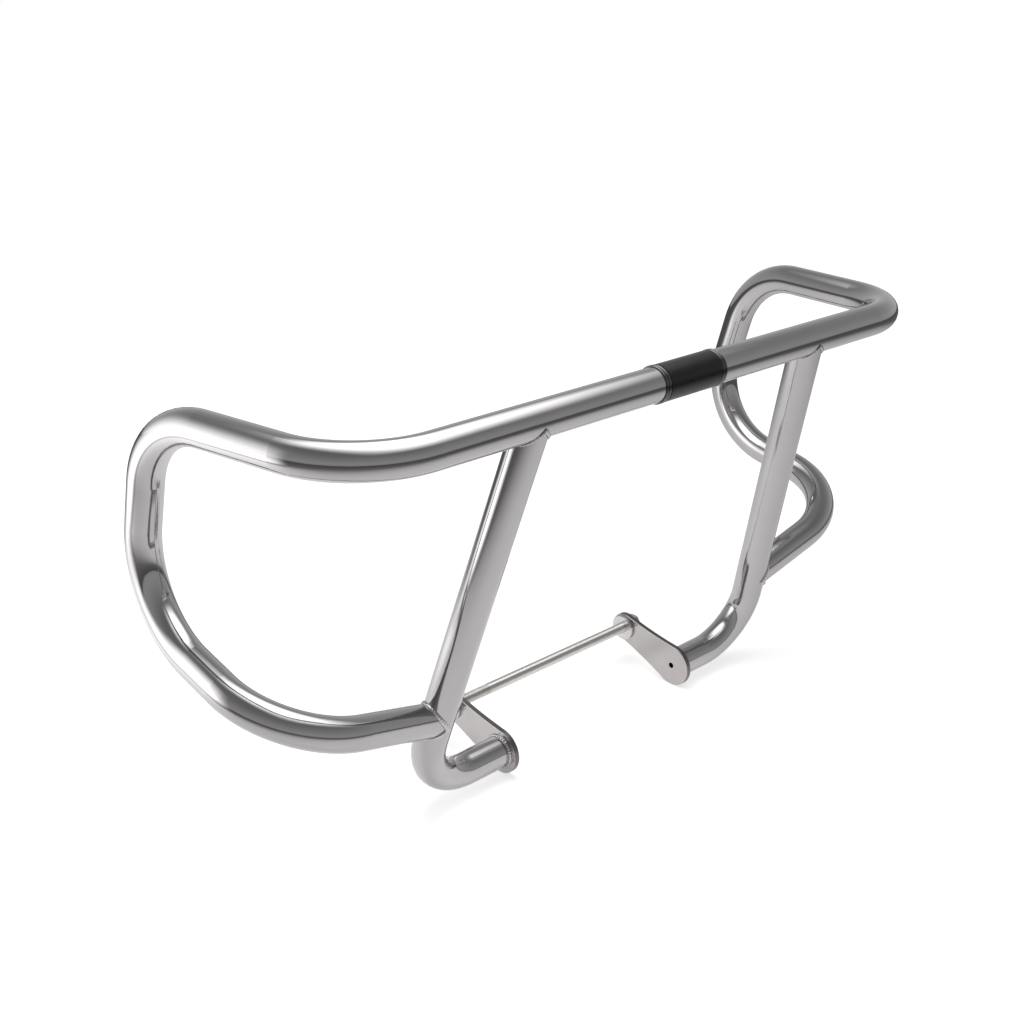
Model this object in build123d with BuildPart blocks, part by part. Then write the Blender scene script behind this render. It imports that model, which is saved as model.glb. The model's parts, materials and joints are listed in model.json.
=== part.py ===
from build123d import *
from math import acos, ceil, cos, degrees, pi, radians, sin, sqrt, tan
import os

# Motorcycle crash bars, in millimetres, with no moving parts.
# The origin is the middle of the through rod. X runs along the rod to the right, Y to the rear, Z up.

# Tube stock, bends measured at the centre line
tube_diameter = 28.0
tube_wall = 2.0
hoop_bend_radius = 75.0
upright_bend_radius = 50.0
cope_land = 1.0  # blunt tip left on a notched tube end, short of the other tube's axis

# Hoop: corners of its centre line, the same on both sides
crossbar_forward = 149.5
crossbar_rise = 308.5
front_corner_half = 319.5
loop_half = 348.5
loop_top_rear = 51.0
loop_low_rear = 99.0
loop_low_rise = 137.5
loop_front_forward = 89.0
loop_front_rise = 95.5
hoop_end_below = 265.0  # along the upright, from the crossbar's axis

# Uprights: corners of their centre line
upright_top_half = 162.5
upright_foot_half = 209.5

# Mounting plates: a boss round the tube's foot, an eye round the rod and a waist between them
plate_gap = 219.0
plate_thickness = 5.0
boss_forward = 61.5
boss_below = 18.8
boss_margin = 6.0
eye_margin = 8.25
waist_radius = 400.0
plate_edge = 0.6
vent_diameter = 5.5

# Through rod and what is threaded on it
rod_diameter = 10.0
thread_mean_diameter = 9.0
thread_clearance = 0.05
rod_clearance = 0.25
rod_chamfer = 1.0
thread_runout = 1.5
left_thread_length = 57.0
right_thread_length = 21.0
rod_proud = 3.0

# Discs, washer and nuts
disc_diameter = 25.0
disc_thickness = 3.5
disc_chamfer = 0.8
washer_diameter = 20.0
washer_thickness = 2.0
nut_across_flats = 16.0
nut_height = 8.0
nut_face_diameter = 15.0
nut_chamfer_angle = 30.0
nut_countersink = 0.5

# Sleeve round the crossbar
sleeve_length = 72.0
sleeve_wall = 1.0
sleeve_clearance = 0.05
lip_width = 3.5
lip_height = 0.6
lip_round = 0.25

# Weld beads: rows of overlapping drops, with their centres a little under both surfaces
drop_radius = 2.6
drop_pitch = 2.4
drop_sink = 0.7

os.makedirs("parts", exist_ok=True)
sides = {"left": -1, "right": 1}
tube_radius = tube_diameter / 2
tool_length = 4 * tube_diameter  # long enough to pass a tube at any of the joints
boss_radius = tube_radius + boss_margin
rod_hole_radius = rod_diameter / 2 + rod_clearance
eye_radius = rod_hole_radius + eye_margin
plate_inner = plate_gap / 2
plate_outer = plate_inner + plate_thickness
crossbar_axis = Vector(1, 0, 0)


def upright_top(sign):
    return Vector(sign * upright_top_half, -crossbar_forward, crossbar_rise)


def upright_foot(sign):
    return Vector(sign * upright_foot_half, -boss_forward, -boss_below)


def upright_axis(sign):
    return (upright_foot(sign) - upright_top(sign)).normalized()


def hoop_joint(sign):
    return upright_top(sign) + upright_axis(sign) * hoop_end_below


def hoop_corners(sign):
    return [
        Vector(sign * front_corner_half, -crossbar_forward, crossbar_rise),
        Vector(sign * loop_half, loop_top_rear, crossbar_rise),
        Vector(sign * loop_half, loop_low_rear, loop_low_rise),
        Vector(sign * loop_half, -loop_front_forward, loop_front_rise),
    ]


def hoop_end_axis(sign):
    return (hoop_corners(sign)[-1] - hoop_joint(sign)).normalized()


def save(piece, name):
    piece.part.label = name
    export_step(piece.part, f"parts/{name}.step")


# Hoop: one tube from the left upright round both loops to the right upright, with a fish-mouth at each end
hoop_half_points = {}
for side, sign in sides.items():
    blunt_end = hoop_joint(sign) + hoop_end_axis(sign) * cope_land
    hoop_half_points[side] = hoop_corners(sign) + [blunt_end]

with BuildPart() as hoop:
    with BuildLine() as hoop_path:
        hoop_points = hoop_half_points["left"][::-1] + hoop_half_points["right"]
        FilletPolyline(*hoop_points, radius=hoop_bend_radius)
    with BuildSketch(Plane(hoop_path.line @ 0, z_dir=hoop_path.line % 0)):
        Circle(tube_radius)
        Circle(tube_radius - tube_wall, mode=Mode.SUBTRACT)
    sweep(path=hoop_path.line)
    for sign in sides.values():
        with Locations(Plane(hoop_joint(sign), x_dir=-hoop_end_axis(sign), z_dir=upright_axis(sign))):
            Cylinder(tube_radius, tool_length, mode=Mode.SUBTRACT)
save(hoop, "hoop")

# Uprights: notched under the crossbar, bent inwards at the foot and cut square at the plate
for side, sign in sides.items():
    with BuildPart() as upright:
        with BuildLine() as upright_path:
            FilletPolyline(
                upright_top(sign) + upright_axis(sign) * cope_land,
                upright_foot(sign),
                (sign * plate_outer, -boss_forward, -boss_below),
                radius=upright_bend_radius,
            )
        with BuildSketch(Plane(upright_path.line @ 0, z_dir=upright_path.line % 0)):
            Circle(tube_radius)
            Circle(tube_radius - tube_wall, mode=Mode.SUBTRACT)
        sweep(path=upright_path.line)
        with Locations(Plane(upright_top(sign), x_dir=-upright_axis(sign), z_dir=crossbar_axis)):
            Cylinder(tube_radius, tool_length, mode=Mode.SUBTRACT)
    save(upright, f"{side}_upright")

# Mounting plates: the outline is four tangent arcs, in the rod's own YZ plane
eye = Vector(0, 0)
boss = Vector(-boss_forward, -boss_below)
plate_line = (eye - boss).normalized()
boss_reach = boss_radius + waist_radius
eye_reach = eye_radius + waist_radius
centre_distance = (eye - boss).length
waist_cosine = (centre_distance**2 + boss_reach**2 - eye_reach**2) / (2 * centre_distance * boss_reach)
waist_turn = degrees(acos(waist_cosine))


def waist_arc(turn):
    centre = boss + plate_line.rotate(Axis.Z, turn * waist_turn) * boss_reach
    on_boss = boss + (centre - boss).normalized() * boss_radius
    on_eye = eye + (centre - eye).normalized() * eye_radius
    middle = centre + ((on_boss + on_eye) * 0.5 - centre).normalized() * waist_radius
    return on_boss, middle, on_eye


upper_boss, upper_middle, upper_eye = waist_arc(1)
lower_boss, lower_middle, lower_eye = waist_arc(-1)

for side, sign in sides.items():
    with BuildPart() as plate:
        with BuildSketch(Plane.YZ.offset(sign * plate_inner)):
            with BuildLine():
                ThreePointArc(upper_boss, boss - plate_line * boss_radius, lower_boss)
                ThreePointArc(lower_boss, lower_middle, lower_eye)
                ThreePointArc(lower_eye, eye + plate_line * eye_radius, upper_eye)
                ThreePointArc(upper_eye, upper_middle, upper_boss)
            make_face()
        extrude(amount=sign * plate_thickness)
        rims = plate.faces().filter_by(Axis.X).edges()
        fillet(rims, plate_edge)
        with Locations(Plane((sign * plate_outer, 0, 0), z_dir=crossbar_axis * sign)):
            Hole(rod_hole_radius)
        with Locations(Plane((sign * plate_outer, boss.X, boss.Y), z_dir=crossbar_axis * sign)):
            Hole(vent_diameter / 2)
    save(plate, f"{side}_mount_plate")

# Stack on the rod, outwards from each plate: a disc and a nut on the left, a washer and a nut on the right
left_disc_face = -plate_outer
left_nut_face = left_disc_face - disc_thickness
left_rod_end = left_nut_face - nut_height - rod_proud
right_nut_face = plate_outer + washer_thickness
right_rod_end = right_nut_face + nut_height + rod_proud

# Through rod: a plain shank between two threads, which are drawn at their mean diameter
shank_radius = rod_diameter / 2
thread_radius = thread_mean_diameter / 2
left_thread_end = left_rod_end + left_thread_length
right_thread_end = right_rod_end - right_thread_length
with BuildPart() as through_rod:
    with BuildSketch(Plane.XY):
        with BuildLine():
            Polyline(
                (left_rod_end, 0),
                (left_rod_end, thread_radius - rod_chamfer),
                (left_rod_end + rod_chamfer, thread_radius),
                (left_thread_end - thread_runout, thread_radius),
                (left_thread_end, shank_radius),
                (right_thread_end, shank_radius),
                (right_thread_end + thread_runout, thread_radius),
                (right_rod_end - rod_chamfer, thread_radius),
                (right_rod_end, thread_radius - rod_chamfer),
                (right_rod_end, 0),
                close=True,
            )
        make_face()
    revolve(axis=Axis.X)
save(through_rod, "through_rod")

# Thick discs: one clamps the left plate from outside, one spaces the right plate off the frame from inside
disc_starts = {"left_clamp_disc": left_disc_face, "right_spacer_disc": plate_inner}
for name, start in disc_starts.items():
    with BuildPart() as disc:
        with BuildSketch(Plane.YZ.offset(start)):
            Circle(disc_diameter / 2)
        extrude(amount=-disc_thickness)
        chamfer(disc.edges().filter_by(GeomType.CIRCLE), disc_chamfer)
        with Locations(Plane((start, 0, 0), z_dir=crossbar_axis)):
            Hole(rod_hole_radius)
    save(disc, name)

# Plain washer under the right nut
with BuildPart() as right_washer:
    with BuildSketch(Plane.YZ.offset(plate_outer)):
        Circle(washer_diameter / 2)
        Circle(rod_hole_radius, mode=Mode.SUBTRACT)
    extrude(amount=washer_thickness)
save(right_washer, "right_washer")

# Nuts: a hexagon turned off at its corners on both faces
nut_corner = nut_across_flats / sqrt(3)
nut_face = nut_face_diameter / 2
nut_slope = (nut_corner - nut_face) * tan(radians(nut_chamfer_angle))
nut_bore = thread_radius + thread_clearance
nut_starts = {"left": left_nut_face, "right": right_nut_face}
for side, sign in sides.items():
    start = nut_starts[side]
    end = start + sign * nut_height
    with BuildPart() as nut:
        with BuildSketch(Plane.YZ.offset(start)):
            RegularPolygon(nut_across_flats / 2, 6, major_radius=False)
        extrude(amount=sign * nut_height)
        with BuildSketch(Plane.XY):
            with BuildLine():
                Polyline(
                    (start, 0),
                    (start, nut_face),
                    (start + sign * nut_slope, nut_corner),
                    (end - sign * nut_slope, nut_corner),
                    (end, nut_face),
                    (end, 0),
                    close=True,
                )
            make_face()
        revolve(axis=Axis.X, mode=Mode.INTERSECT)
        with Locations(Plane((end, 0, 0), z_dir=crossbar_axis * sign)):
            Hole(nut_bore)
        rims = nut.edges().filter_by(GeomType.CIRCLE)
        chamfer(rims.filter_by(lambda rim: rim.radius < nut_face - nut_countersink), nut_countersink)
    save(nut, f"{side}_nut")

# Sleeve: a thin wall with a raised lip at each end
sleeve_inner = tube_radius + sleeve_clearance
sleeve_outer = sleeve_inner + sleeve_wall
lip_centre = (sleeve_length - lip_width) / 2
lip_middle = sleeve_inner + (sleeve_wall + lip_height) / 2
sleeve_plane = Plane((0, -crossbar_forward, crossbar_rise))
with BuildPart() as crossbar_sleeve:
    with BuildSketch(sleeve_plane) as sleeve_section:
        with Locations((0, (sleeve_inner + sleeve_outer) / 2)):
            Rectangle(sleeve_length, sleeve_wall)
        with Locations((-lip_centre, lip_middle), (lip_centre, lip_middle)):
            Rectangle(lip_width, sleeve_wall + lip_height)
        fillet(sleeve_section.vertices().group_by(Axis.Y)[-1], lip_round)
    revolve(axis=Axis(sleeve_plane.origin, crossbar_axis))
save(crossbar_sleeve, "crossbar_sleeve")

# Beads where two tubes of one size meet: their seam is two half ellipses, each in a plane of its own
welds = {}
for side, sign in sides.items():
    welds[f"{side}_crossbar_weld"] = (upright_top(sign), crossbar_axis, upright_axis(sign))
    welds[f"{side}_hoop_end_weld"] = (hoop_joint(sign), upright_axis(sign), hoop_end_axis(sign))

seam_radius = tube_radius - drop_sink
above = (Align.CENTER, Align.CENTER, Align.MIN)
below = (Align.CENTER, Align.CENTER, Align.MAX)
for name, (joint, run_axis, branch_axis) in welds.items():
    seam_side = run_axis.cross(branch_axis).normalized() * seam_radius
    cosine = run_axis.dot(branch_axis)
    sine = sqrt(1 - cosine**2)
    square_to_run = (branch_axis - run_axis * cosine) / sine
    drops = []
    for direction in (-1, 1):
        seam_top = (run_axis * ((cosine + direction) / sine) + square_to_run) * seam_radius
        count = ceil(pi * (seam_radius + seam_top.length) / 2 / drop_pitch)
        for index in range(count):
            turn = pi * index / count
            drops.append(joint + seam_side * (direction * cos(turn)) + seam_top * sin(turn))
    with BuildPart() as weld:
        with Locations(*drops):
            Sphere(drop_radius)
        with Locations(Plane(joint + branch_axis * cope_land, x_dir=run_axis, z_dir=branch_axis)):
            Cylinder(tube_radius, tool_length, align=above, mode=Mode.SUBTRACT)
        with Locations(Plane(joint, x_dir=-square_to_run, z_dir=run_axis)):
            Cylinder(tube_radius, tool_length, mode=Mode.SUBTRACT)
    save(weld, name)

# Beads round the uprights' feet, on the outer faces of the plates
foot_count = ceil(2 * pi * seam_radius / drop_pitch)
for side, sign in sides.items():
    foot_plane = Plane((sign * plate_outer, -boss_forward, -boss_below), z_dir=crossbar_axis * sign)
    with BuildPart() as foot_weld:
        with Locations(foot_plane.offset(-drop_sink)):
            with PolarLocations(seam_radius, foot_count):
                Sphere(drop_radius)
        with Locations(foot_plane):
            Cylinder(tube_radius, tool_length, mode=Mode.SUBTRACT)
            Cylinder(2 * tube_radius, tool_length, align=below, mode=Mode.SUBTRACT)
    save(foot_weld, f"{side}_plate_weld")
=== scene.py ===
import json
import math

import bmesh
import bpy
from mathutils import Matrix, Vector


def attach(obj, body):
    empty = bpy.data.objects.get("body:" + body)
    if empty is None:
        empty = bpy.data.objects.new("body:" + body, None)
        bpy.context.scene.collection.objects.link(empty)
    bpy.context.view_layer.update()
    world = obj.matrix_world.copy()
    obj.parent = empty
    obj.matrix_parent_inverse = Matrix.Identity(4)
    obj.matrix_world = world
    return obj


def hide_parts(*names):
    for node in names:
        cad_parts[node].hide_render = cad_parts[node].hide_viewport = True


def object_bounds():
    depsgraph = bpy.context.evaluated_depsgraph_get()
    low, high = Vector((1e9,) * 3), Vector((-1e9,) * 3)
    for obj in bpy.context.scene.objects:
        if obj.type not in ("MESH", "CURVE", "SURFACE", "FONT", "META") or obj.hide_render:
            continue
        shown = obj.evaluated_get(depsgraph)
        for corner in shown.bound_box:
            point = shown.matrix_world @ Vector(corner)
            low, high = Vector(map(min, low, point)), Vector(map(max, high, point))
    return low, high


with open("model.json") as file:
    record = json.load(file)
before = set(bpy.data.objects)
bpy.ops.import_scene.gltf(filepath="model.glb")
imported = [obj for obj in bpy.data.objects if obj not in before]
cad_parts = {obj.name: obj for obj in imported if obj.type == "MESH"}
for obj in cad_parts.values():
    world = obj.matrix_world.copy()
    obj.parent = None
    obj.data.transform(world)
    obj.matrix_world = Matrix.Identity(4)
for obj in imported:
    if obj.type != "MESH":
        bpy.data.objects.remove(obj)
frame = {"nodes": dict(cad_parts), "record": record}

nodes = frame["nodes"]
cadLow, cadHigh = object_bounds()
mm = 0.001
mergeDistance = 0.002 * mm
noiseLow, noiseHigh = 0.3, 0.7  # most of a noise node's values lie between these
quarterTurn = 0.25  # as the shader's rotation socket counts it


def hexColour(code):
    # sRGB hex, such as "c4c2c1", to the linear colour that Blender's sockets take
    parts = [int(code[i:i + 2], 16) / 255 for i in (0, 2, 4)]
    return [p / 12.92 if p <= 0.04045 else ((p + 0.055) / 1.055) ** 2.4 for p in parts] + [1.0]


def addNode(tree, kind, sockets, **settings):
    node = tree.nodes.new(kind)
    for name, value in settings.items():
        setattr(node, name, value)
    for name, value in sockets.items():
        if isinstance(value, bpy.types.NodeSocket):
            tree.links.new(value, node.inputs[name])
        else:
            node.inputs[name].default_value = value
    return node


def newMaterial(name):
    material = bpy.data.materials.new(name)
    material.use_nodes = True
    material.node_tree.nodes.clear()
    return material, material.node_tree


def meshObject(name, bm, material, smooth=True):
    bmesh.ops.remove_doubles(bm, verts=bm.verts, dist=mergeDistance)
    bmesh.ops.recalc_face_normals(bm, faces=bm.faces)
    mesh = bpy.data.meshes.new(name)
    for face in bm.faces:
        face.smooth = smooth
    bm.to_mesh(mesh)
    bm.free()
    mesh.materials.append(material)
    made = bpy.data.objects.new(name, mesh)
    bpy.context.scene.collection.objects.link(made)
    return made


def spinOutline(bm, outline, centre, steps):
    # an outline of (along X, radius) in mm, turned once round an axis along X through centre (y, z)
    y, z = centre
    points = [bm.verts.new((x * mm, y * mm, (z + r) * mm)) for x, r in outline]
    edges = [bm.edges.new(pair) for pair in zip(points, points[1:])]
    bmesh.ops.spin(bm, geom=points + edges, cent=(0, y * mm, z * mm), axis=(1, 0, 0), angle=2 * math.pi,
                   steps=steps, use_merge=True)


def surfaceSkin(tree, look):
    # patches that differ a little in colour and polish, over a fine unevenness
    place = addNode(tree, "ShaderNodeTexCoord", {}).outputs["Object"]
    patches = addNode(tree, "ShaderNodeTexNoise", {
        "Vector": place, "Scale": 1 / look["patch"], "Detail": look["patchDetail"]})
    tint = addNode(tree, "ShaderNodeMix", {
        "Factor": patches.outputs["Fac"], 6: hexColour(look["colour"]), 7: hexColour(look["worn"])},
        data_type="RGBA")
    polish = addNode(tree, "ShaderNodeMapRange", {
        "Value": patches.outputs["Fac"], "From Min": noiseLow, "From Max": noiseHigh,
        "To Min": look["rough"], "To Max": look["roughWorn"]})
    waves = addNode(tree, "ShaderNodeTexNoise", {
        "Vector": place, "Scale": 1 / look["wave"], "Detail": 2.0})
    bump = addNode(tree, "ShaderNodeBump", {
        "Height": waves.outputs["Fac"], "Distance": look["waveDepth"], "Strength": 1.0})
    return tint.outputs[2], polish.outputs["Result"], bump.outputs["Normal"]


def metalMaterial(name, look):
    material, tree = newMaterial(name)
    colour, roughness, normal = surfaceSkin(tree, look)
    if "cut" in look:  # a sawn edge under the plating, duller than the rolled faces, which lie across X
        facing = addNode(tree, "ShaderNodeNewGeometry", {})
        axes = addNode(tree, "ShaderNodeSeparateXYZ", {"Vector": facing.outputs["True Normal"]})
        flat = addNode(tree, "ShaderNodeMath", {0: axes.outputs["X"]}, operation="ABSOLUTE")
        face = addNode(tree, "ShaderNodeMapRange", {
            "Value": flat.outputs["Value"], "From Min": look["cutBelow"], "From Max": look["faceAbove"]})
        colour = addNode(tree, "ShaderNodeMix", {
            "Factor": face.outputs["Result"], 6: hexColour(look["cut"]), 7: colour},
            data_type="RGBA").outputs[2]
        roughness = addNode(tree, "ShaderNodeMix", {
            "Factor": face.outputs["Result"], 2: look["cutRough"], 3: roughness}).outputs[0]
    shader = addNode(tree, "ShaderNodeBsdfPrincipled", {
        "Base Color": colour, "Metallic": 1.0, "Roughness": roughness, "Normal": normal})
    if "turned" in look:  # fine rings round the X axis, which draw a highlight out along it
        rings = addNode(tree, "ShaderNodeTangent", {}, direction_type="RADIAL", axis="X")
        shader.inputs["Anisotropic"].default_value = look["turned"]
        shader.inputs["Anisotropic Rotation"].default_value = quarterTurn
        tree.links.new(rings.outputs["Tangent"], shader.inputs["Tangent"])
    addNode(tree, "ShaderNodeOutputMaterial", {"Surface": shader.outputs["BSDF"]})
    return material


def nylonMaterial(name, look):
    material, tree = newMaterial(name)
    colour, roughness, normal = surfaceSkin(tree, look)
    shader = addNode(tree, "ShaderNodeBsdfPrincipled", {
        "Base Color": colour, "Roughness": roughness, "Normal": normal,
        "Specular IOR Level": look["specular"], "Coat Weight": look["coat"], "Coat Roughness": look["rough"]})
    addNode(tree, "ShaderNodeOutputMaterial", {"Surface": shader.outputs["BSDF"]})
    return material


# chromed steel tube: buffed before plating, so it mirrors the studio with only a faint ripple
chromedTube = metalMaterial("chromedSteelTube", {
    "colour": "c4c2c3", "worn": "bcbabb", "rough": 0.06, "roughWorn": 0.1,
    "patch": 45 * mm, "patchDetail": 3.0, "wave": 9 * mm, "waveDepth": 0.02 * mm})
# chromed flat steel: rolled, not quite flat, so its reflections are softer and wander; the edges are dull
chromedPlate = metalMaterial("chromedFlatSteel", {
    "colour": "c6c2c2", "worn": "bab6b6", "rough": 0.09, "roughWorn": 0.14,
    "patch": 20 * mm, "patchDetail": 3.0, "wave": 28 * mm, "waveDepth": 0.4 * mm,
    "cut": "7a7777", "cutRough": 0.3, "cutBelow": 0.5, "faceAbove": 0.9})
# chromed weld bead: bright plate over small ripples, which sparkle
chromedWeld = metalMaterial("chromedWeldBead", {
    "colour": "c8c6c5", "worn": "b4b1b0", "rough": 0.06, "roughWorn": 0.16,
    "patch": 4 * mm, "patchDetail": 3.0, "wave": 2 * mm, "waveDepth": 0.16 * mm})
# satin chromed weld bead: brushed before plating, so it shows as a pale line with a soft shine
satinWeld = metalMaterial("satinChromedWeldBead", {
    "colour": "d6d4d4", "worn": "c6c4c4", "rough": 0.2, "roughWorn": 0.3,
    "patch": 4 * mm, "patchDetail": 3.0, "wave": 1.6 * mm, "waveDepth": 0.06 * mm})
# bright plated steel: the pale satin of plated nuts, washers and discs
platedSteel = metalMaterial("brightPlatedSteel", {
    "colour": "dedcdb", "worn": "cfcdcb", "rough": 0.18, "roughWorn": 0.26,
    "patch": 6 * mm, "patchDetail": 3.0, "wave": 2 * mm, "waveDepth": 0.005 * mm})
# turned steel rod: bright plate over fine lathe rings, so the lamp overhead runs along it as one white band
turnedSteel = metalMaterial("turnedBrightSteel", {
    "colour": "eceae8", "worn": "dfdddb", "rough": 0.4, "roughWorn": 0.46, "turned": 0.95,
    "patch": 6 * mm, "patchDetail": 3.0, "wave": 2 * mm, "waveDepth": 0.005 * mm})
# moulded black nylon: a satin skin with a fine grain that spreads its highlight into a soft sheen
blackNylon = nylonMaterial("mouldedBlackNylon", {
    "colour": "0a0a0b", "worn": "121213", "rough": 0.26, "roughWorn": 0.34, "specular": 0.4, "coat": 0.0,
    "patch": 12 * mm, "patchDetail": 4.0, "wave": 0.6 * mm, "waveDepth": 0.02 * mm})
# lacquered black nylon: a glossy skin, on which the ridges catch the lamps in thin bright lines
blackLacquer = nylonMaterial("lacqueredBlackNylon", {
    "colour": "0b0b0c", "worn": "121213", "rough": 0.06, "roughWorn": 0.12, "specular": 0.9, "coat": 1.0,
    "patch": 12 * mm, "patchDetail": 4.0, "wave": 0.6 * mm, "waveDepth": 0.002 * mm})
print("materials made")

finishes = {"chrome_tube": chromedTube, "chrome_plate": chromedPlate, "chrome_weld": chromedWeld,
            "bright_steel": platedSteel, "black_sleeve": blackNylon}
for part in frame["record"]["subparts"]:
    for holder in nodes[part["node"]].material_slots:
        holder.material = finishes[part["material_slot"]]
print("finishes given to", len(nodes), "CAD nodes")

# weld beads: the CAD rows of drops melted into one another, as a run bead sets
beadLook = {
    "voxel": 0.4 * mm, "factor": 0.5,
    "crossbar": {"passes": 20, "swell": -0.4 * mm, "skin": chromedTube},  # ground nearly flush
    "hoop_end": {"passes": 12, "swell": 0.3 * mm, "skin": satinWeld},
    "plate": {"passes": 2, "swell": 0.2 * mm, "skin": chromedWeld}}
for joint in ("crossbar", "hoop_end", "plate"):
    run = beadLook[joint]
    for side in ("left", "right"):
        source = nodes[side + "_" + joint + "_weld"]
        bm = bmesh.new()
        bm.from_mesh(source.data)
        bead = meshObject(side + "_" + joint + "_bead", bm, run["skin"])
        melt = bead.modifiers.new("melt", "REMESH")
        melt.mode, melt.voxel_size, melt.use_smooth_shade = "VOXEL", beadLook["voxel"], True
        flow = bead.modifiers.new("flow", "SMOOTH")
        flow.factor, flow.iterations = beadLook["factor"], run["passes"]
        settle = bead.modifiers.new("settle", "DISPLACE")
        settle.strength, settle.mid_level = run["swell"], 0.0
        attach(bead, "root")
        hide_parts(source.name)
print("weld beads melted")

# through rod, in mm: an M10 thread run up from each end, and a plain shank between
rodLook = {"left": -129.0, "leftThread": -72.0, "rightThread": 106.5, "right": 127.5, "radius": 5.0,
           "pitch": 1.5, "root": 4.15, "threadTop": 4.95, "rootFlat": 0.15, "flank": 0.5, "crest": 0.2,
           "threadSteps": 24, "shankSteps": 64, "runout": 1.0, "runoutRadius": 4.0,
           "tipLength": 1.0, "tipRadius": 3.85, "tipSlope": 0.85, "sharpAngle": 35}


def threadRun(bm, start, end, tip):
    # one pitch of the thread's outline, turned and fed along the rod, then trimmed square at both ends
    pitch, root, top = rodLook["pitch"], rodLook["root"], rodLook["threadTop"]
    rise = rodLook["rootFlat"] + rodLook["flank"]
    fall = rise + rodLook["crest"]
    outline = [(0.0, root), (rodLook["rootFlat"], root), (rise, top), (fall, top),
               (fall + rodLook["flank"], root), (pitch, root)]
    run = bmesh.new()
    points = [run.verts.new(((start - pitch + x) * mm, 0, r * mm)) for x, r in outline]
    edges = [run.edges.new(pair) for pair in zip(points, points[1:])]
    turns = math.ceil((end - start) / pitch) + 2
    bmesh.ops.spin(run, geom=points + edges, cent=(0, 0, 0), axis=(1, 0, 0), angle=2 * math.pi * turns,
                   steps=turns * rodLook["threadSteps"], dvec=(pitch * mm / rodLook["threadSteps"], 0, 0))
    bmesh.ops.remove_doubles(run, verts=run.verts, dist=mergeDistance)
    for cut, outward in ((start, -1), (end, 1)):
        bmesh.ops.bisect_plane(run, geom=run.verts[:] + run.edges[:] + run.faces[:],
                               plane_co=(cut * mm, 0, 0), plane_no=(outward, 0, 0), clear_outer=True)
    bmesh.ops.holes_fill(run, edges=[e for e in run.edges if e.is_boundary])
    for vert in run.verts:  # lead-in chamfer at the rod's tip
        reach = abs(vert.co.x / mm - tip)
        if reach < rodLook["tipLength"]:
            limit = (rodLook["tipRadius"] + rodLook["tipSlope"] * reach) * mm
            size = math.hypot(vert.co.y, vert.co.z)
            if size > limit:
                vert.co.y *= limit / size
                vert.co.z *= limit / size
    mesh = bpy.data.meshes.new("threadRun")
    run.to_mesh(mesh)
    run.free()
    bm.from_mesh(mesh)
    bpy.data.meshes.remove(mesh)


bm = bmesh.new()
spinOutline(bm, [(rodLook["leftThread"] - rodLook["runout"], rodLook["runoutRadius"]),
                 (rodLook["leftThread"], rodLook["radius"]), (rodLook["rightThread"], rodLook["radius"]),
                 (rodLook["rightThread"] + rodLook["runout"], rodLook["runoutRadius"])],
            (0.0, 0.0), rodLook["shankSteps"])
bmesh.ops.holes_fill(bm, edges=[e for e in bm.edges if e.is_boundary])
threadRun(bm, rodLook["left"], rodLook["leftThread"], rodLook["left"])
threadRun(bm, rodLook["rightThread"], rodLook["right"], rodLook["right"])
rod = meshObject("threaded_rod", bm, turnedSteel)
rod.data.set_sharp_from_angle(angle=math.radians(rodLook["sharpAngle"]))
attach(rod, "root")
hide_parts("through_rod")
print("rod threaded")

# crossbar sleeve, in mm: a thin moulded tube with two rounded ridges round each end
sleeveShape = {"half": 36.0, "inner": 14.05, "body": 15.0, "axis": (-149.5, 308.5), "steps": 128,
               "ridges": (34.8, 32.0), "width": 2.3, "crown": 15.3, "groove": 14.4, "ridgeSteps": 8,
               "ridgeFrom": 30.0, "shoulder": 0.4, "sharpAngle": 50}
outline = [(0.0, sleeveShape["inner"]), (sleeveShape["half"], sleeveShape["inner"]),
           (sleeveShape["half"], sleeveShape["groove"])]
for middle in sleeveShape["ridges"]:
    for step in range(sleeveShape["ridgeSteps"] + 1):
        turn = math.pi * step / sleeveShape["ridgeSteps"]
        height = (sleeveShape["crown"] - sleeveShape["groove"]) * math.sin(turn)
        outline.append((middle + sleeveShape["width"] / 2 * math.cos(turn), sleeveShape["groove"] + height))
outline += [(sleeveShape["ridgeFrom"], sleeveShape["groove"]),
            (sleeveShape["ridgeFrom"] - sleeveShape["shoulder"], sleeveShape["body"]),
            (0.0, sleeveShape["body"])]
bm = bmesh.new()
spinOutline(bm, outline, sleeveShape["axis"], sleeveShape["steps"])
bmesh.ops.mirror(bm, geom=bm.verts[:] + bm.edges[:] + bm.faces[:], axis="X", merge_dist=mergeDistance)
for face in bm.faces:  # the ridges take the second material
    face.material_index = int(abs(face.calc_center_median().x) > sleeveShape["ridgeFrom"] * mm)
sleeve = meshObject("ridged_sleeve", bm, blackNylon)
sleeve.data.materials.append(blackLacquer)
sleeve.data.set_sharp_from_angle(angle=math.radians(sleeveShape["sharpAngle"]))
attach(sleeve, "root")
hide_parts("crossbar_sleeve")
print("sleeve made")

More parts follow.
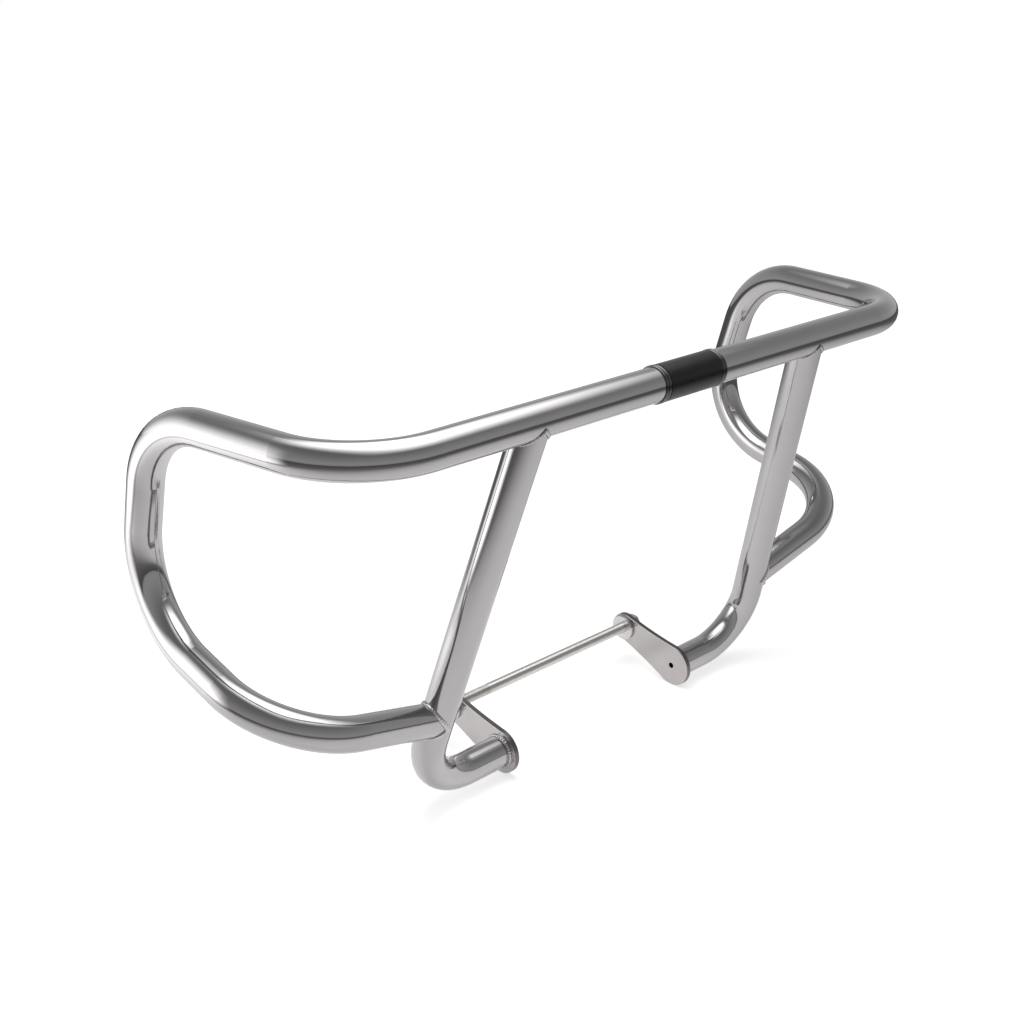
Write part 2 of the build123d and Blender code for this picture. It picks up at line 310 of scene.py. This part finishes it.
# white paper floor: matt, and in reflections as bright as the lamps make it, with a few painted pools of
# light that glow with no lamp behind them;
# for the camera it glows up to pure white, so only a faint shadow stays
floorLook = {"radius": 6.0, "segments": 96, "colour": "f4f3f2",
             "nearGlow": 0.62, "farGlow": 1.0, "nearTo": 0.1, "farFrom": 0.6,
             # painted light: each pool is a glow painted on the floor for reflections, not light from a lamp
             "paintedPools": [{"centre": (0.16, 0.08), "full": 0.5, "edge": 1.3, "level": 0.38},
                       {"centre": (-0.6, 0.5), "full": 0.0, "edge": 0.45, "level": 0.8},
                       {"centre": (-0.2, -0.06), "full": 0.0, "edge": 0.16, "level": 0.03}]}
whitePaper, tree = newMaterial("whitePaperFloor")
place = addNode(tree, "ShaderNodeTexCoord", {}).outputs["Object"]
level = addNode(tree, "ShaderNodeVectorMath", {0: place, 1: (1.0, 1.0, 0.0)}, operation="MULTIPLY")
far = addNode(tree, "ShaderNodeVectorMath", {0: level.outputs["Vector"]}, operation="LENGTH")
glow = addNode(tree, "ShaderNodeMapRange", {
    "Value": far.outputs["Value"], "From Min": floorLook["nearTo"], "From Max": floorLook["farFrom"],
    "To Min": floorLook["nearGlow"], "To Max": floorLook["farGlow"]}, interpolation_type="SMOOTHSTEP")
ray = addNode(tree, "ShaderNodeLightPath", {})
total = addNode(tree, "ShaderNodeMath", {0: glow.outputs["Result"], 1: ray.outputs["Is Camera Ray"]},
                operation="MULTIPLY")
for pool in floorLook["paintedPools"]:  # painted pools of light, glowing with no lamp behind them, which only reflections show
    off = addNode(tree, "ShaderNodeVectorMath", {0: place, 1: (*pool["centre"], cadLow.z)},
                  operation="DISTANCE")
    shine = addNode(tree, "ShaderNodeMapRange", {
        "Value": off.outputs["Value"], "From Min": pool["edge"], "From Max": pool["full"],
        "To Max": pool["level"]}, interpolation_type="SMOOTHSTEP")
    total = addNode(tree, "ShaderNodeMath", {
        0: shine.outputs["Result"], 1: ray.outputs["Is Glossy Ray"], 2: total.outputs["Value"]},
        operation="MULTIPLY_ADD")
matt = addNode(tree, "ShaderNodeBsdfDiffuse", {"Color": hexColour(floorLook["colour"])})
light = addNode(tree, "ShaderNodeEmission", {"Strength": total.outputs["Value"]})
both = addNode(tree, "ShaderNodeAddShader", {0: matt.outputs["BSDF"], 1: light.outputs["Emission"]})
addNode(tree, "ShaderNodeOutputMaterial", {"Surface": both.outputs["Shader"]})
bm = bmesh.new()
bmesh.ops.create_circle(bm, cap_ends=True, segments=floorLook["segments"], radius=floorLook["radius"])
bmesh.ops.translate(bm, verts=bm.verts, vec=(0, 0, cadLow.z))
floor = meshObject("studioFloor", bm, whitePaper, smooth=False)

# surround: the studio's grey walls and ceiling, which only reflections show;
# each level is an angle above the horizon, in degrees, and the grey at that height
surroundLook = {"radius": 30.0, "segments": 96, "rings": 48, "rearWay": (0.64, 0.77, 0.0), "rearLift": 0.5,
                "levels": [(-90, 0.15), (-6, 0.15), (-2, 0.34), (4, 0.38), (10, 0.37), (20, 0.325),
                           (30, 0.28), (40, 0.235), (50, 0.2), (90, 0.19)]}
greyStudio, tree = newMaterial("greyStudioSurround")
place = addNode(tree, "ShaderNodeTexCoord", {}).outputs["Object"]
way = addNode(tree, "ShaderNodeVectorMath", {0: place}, operation="NORMALIZE")
axes = addNode(tree, "ShaderNodeSeparateXYZ", {"Vector": way.outputs["Vector"]})
rise = addNode(tree, "ShaderNodeMapRange", {"Value": axes.outputs["Z"], "From Min": -1.0, "From Max": 1.0})
ramp = addNode(tree, "ShaderNodeValToRGB", {"Fac": rise.outputs["Result"]})
stops = ramp.color_ramp.elements
while len(stops) < len(surroundLook["levels"]):
    stops.new(1.0)
for stop, (angle, grey) in zip(stops, surroundLook["levels"]):
    stop.position = (math.sin(math.radians(angle)) + 1) / 2
    stop.color = (grey, grey, grey, 1)
rear = addNode(tree, "ShaderNodeVectorMath", {0: way.outputs["Vector"], 1: surroundLook["rearWay"]},
               operation="DOT_PRODUCT")
lift = addNode(tree, "ShaderNodeMapRange", {
    "Value": rear.outputs["Value"], "From Min": 0.0, "From Max": 1.0,
    "To Min": 1.0, "To Max": 1.0 + surroundLook["rearLift"]})
light = addNode(tree, "ShaderNodeEmission", {
    "Color": ramp.outputs["Color"], "Strength": lift.outputs["Result"]})
addNode(tree, "ShaderNodeOutputMaterial", {"Surface": light.outputs["Emission"]})
greyStudio.cycles.emission_sampling = "NONE"
bm = bmesh.new()
bmesh.ops.create_uvsphere(bm, u_segments=surroundLook["segments"], v_segments=surroundLook["rings"],
                          radius=surroundLook["radius"])
surround = meshObject("studioSurround", bm, greyStudio)
surround.visible_camera = False
surround.visible_shadow = False
surround.visible_diffuse = False
print("floor and surround made")

# softboxes; fade is how far in from the left, right, lower and upper edge the cloth reaches full light
lampPlan = {
    "overheadSoftbox": {"place": (0.035, -0.07, 0.75), "aim": (0.035, -0.07, 0.0), "size": (1.22, 1.06),
                        "level": 3.6, "fade": (0.37, 0.68, 0.57, 0.4)},
    "leftStripLight": {"place": (-0.648, 0.394, 0.395), "aim": (0.118, -0.249, 0.395), "size": (0.89, 0.85),
                       "level": 2.8, "fade": (0.62, 0.4, 0.14, 1.0)}}
for name, plan in lampPlan.items():
    lamp = bpy.data.lights.new(name, "AREA")
    lamp.shape = "RECTANGLE"
    width, depth = plan["size"]
    lamp.size, lamp.size_y = width, depth
    lamp.energy = plan["level"] * math.pi * width * depth
    lamp.use_nodes = True
    tree = lamp.node_tree
    tree.nodes.clear()
    spot = addNode(tree, "ShaderNodeNewGeometry", {})
    across = addNode(tree, "ShaderNodeSeparateXYZ", {"Vector": spot.outputs["Parametric"]})
    left, right, lower, upper = plan["fade"]
    full = 1.0
    for axis, edge, inside in (("X", 0.0, left), ("X", 1.0, 1.0 - right),
                               ("Y", 0.0, lower), ("Y", 1.0, 1.0 - upper)):
        rampUp = addNode(tree, "ShaderNodeMapRange", {
            "Value": across.outputs[axis], "From Min": edge, "From Max": inside},
            interpolation_type="SMOOTHSTEP")
        full = addNode(tree, "ShaderNodeMath", {0: full, 1: rampUp.outputs["Result"]},
                       operation="MULTIPLY").outputs["Value"]
    light = addNode(tree, "ShaderNodeEmission", {"Strength": full})
    addNode(tree, "ShaderNodeOutputLight", {"Surface": light.outputs["Emission"]})
    box = bpy.data.objects.new(name, lamp)
    box.location = plan["place"]
    box.rotation_euler = (Vector(plan["aim"]) - Vector(plan["place"])).to_track_quat("-Z", "Y").to_euler()
    box.visible_camera = False
    bpy.context.scene.collection.objects.link(box)

# world: white behind the object, and in reflections if the surround is taken away, with only a little light
worldLook = {"lightStrength": 0.12, "seenStrength": 1.0}
world = bpy.data.worlds.new("whiteStudio")
world.use_nodes = True
tree = world.node_tree
tree.nodes.clear()
ray = addNode(tree, "ShaderNodeLightPath", {})
seen = ray.outputs["Is Camera Ray"]
for kind in ("Is Glossy Ray", "Is Transmission Ray"):
    seen = addNode(tree, "ShaderNodeMath", {0: seen, 1: ray.outputs[kind]},
                   operation="MAXIMUM").outputs["Value"]
plain = addNode(tree, "ShaderNodeBackground", {
    "Color": (1, 1, 1, 1), "Strength": worldLook["lightStrength"]})
white = addNode(tree, "ShaderNodeBackground", {
    "Color": (1, 1, 1, 1), "Strength": worldLook["seenStrength"]})
mix = addNode(tree, "ShaderNodeMixShader", {
    0: seen, 1: plain.outputs["Background"], 2: white.outputs["Background"]})
addNode(tree, "ShaderNodeOutputWorld", {"Surface": mix.outputs["Shader"]})
bpy.context.scene.world = world

# camera, fitted to the photo together with the tubes: turn and down in degrees, lens and sensor in mm
photoCamera = {"place": (-0.80888, -0.81326, 0.61333), "turn": -43.341, "down": 21.947,
               "lens": 48.88, "sensor": 36.0}
camera = bpy.data.objects.new("photoCamera", bpy.data.cameras.new("photoCamera"))
camera.data.lens = photoCamera["lens"]
camera.data.sensor_width = photoCamera["sensor"]
camera.location = photoCamera["place"]
camera.rotation_euler = (math.radians(90 - photoCamera["down"]), 0, math.radians(photoCamera["turn"]))
bpy.context.scene.collection.objects.link(camera)
bpy.context.scene.camera = camera
bpy.context.scene.view_settings.view_transform = "Standard"
print("lights and camera placed")
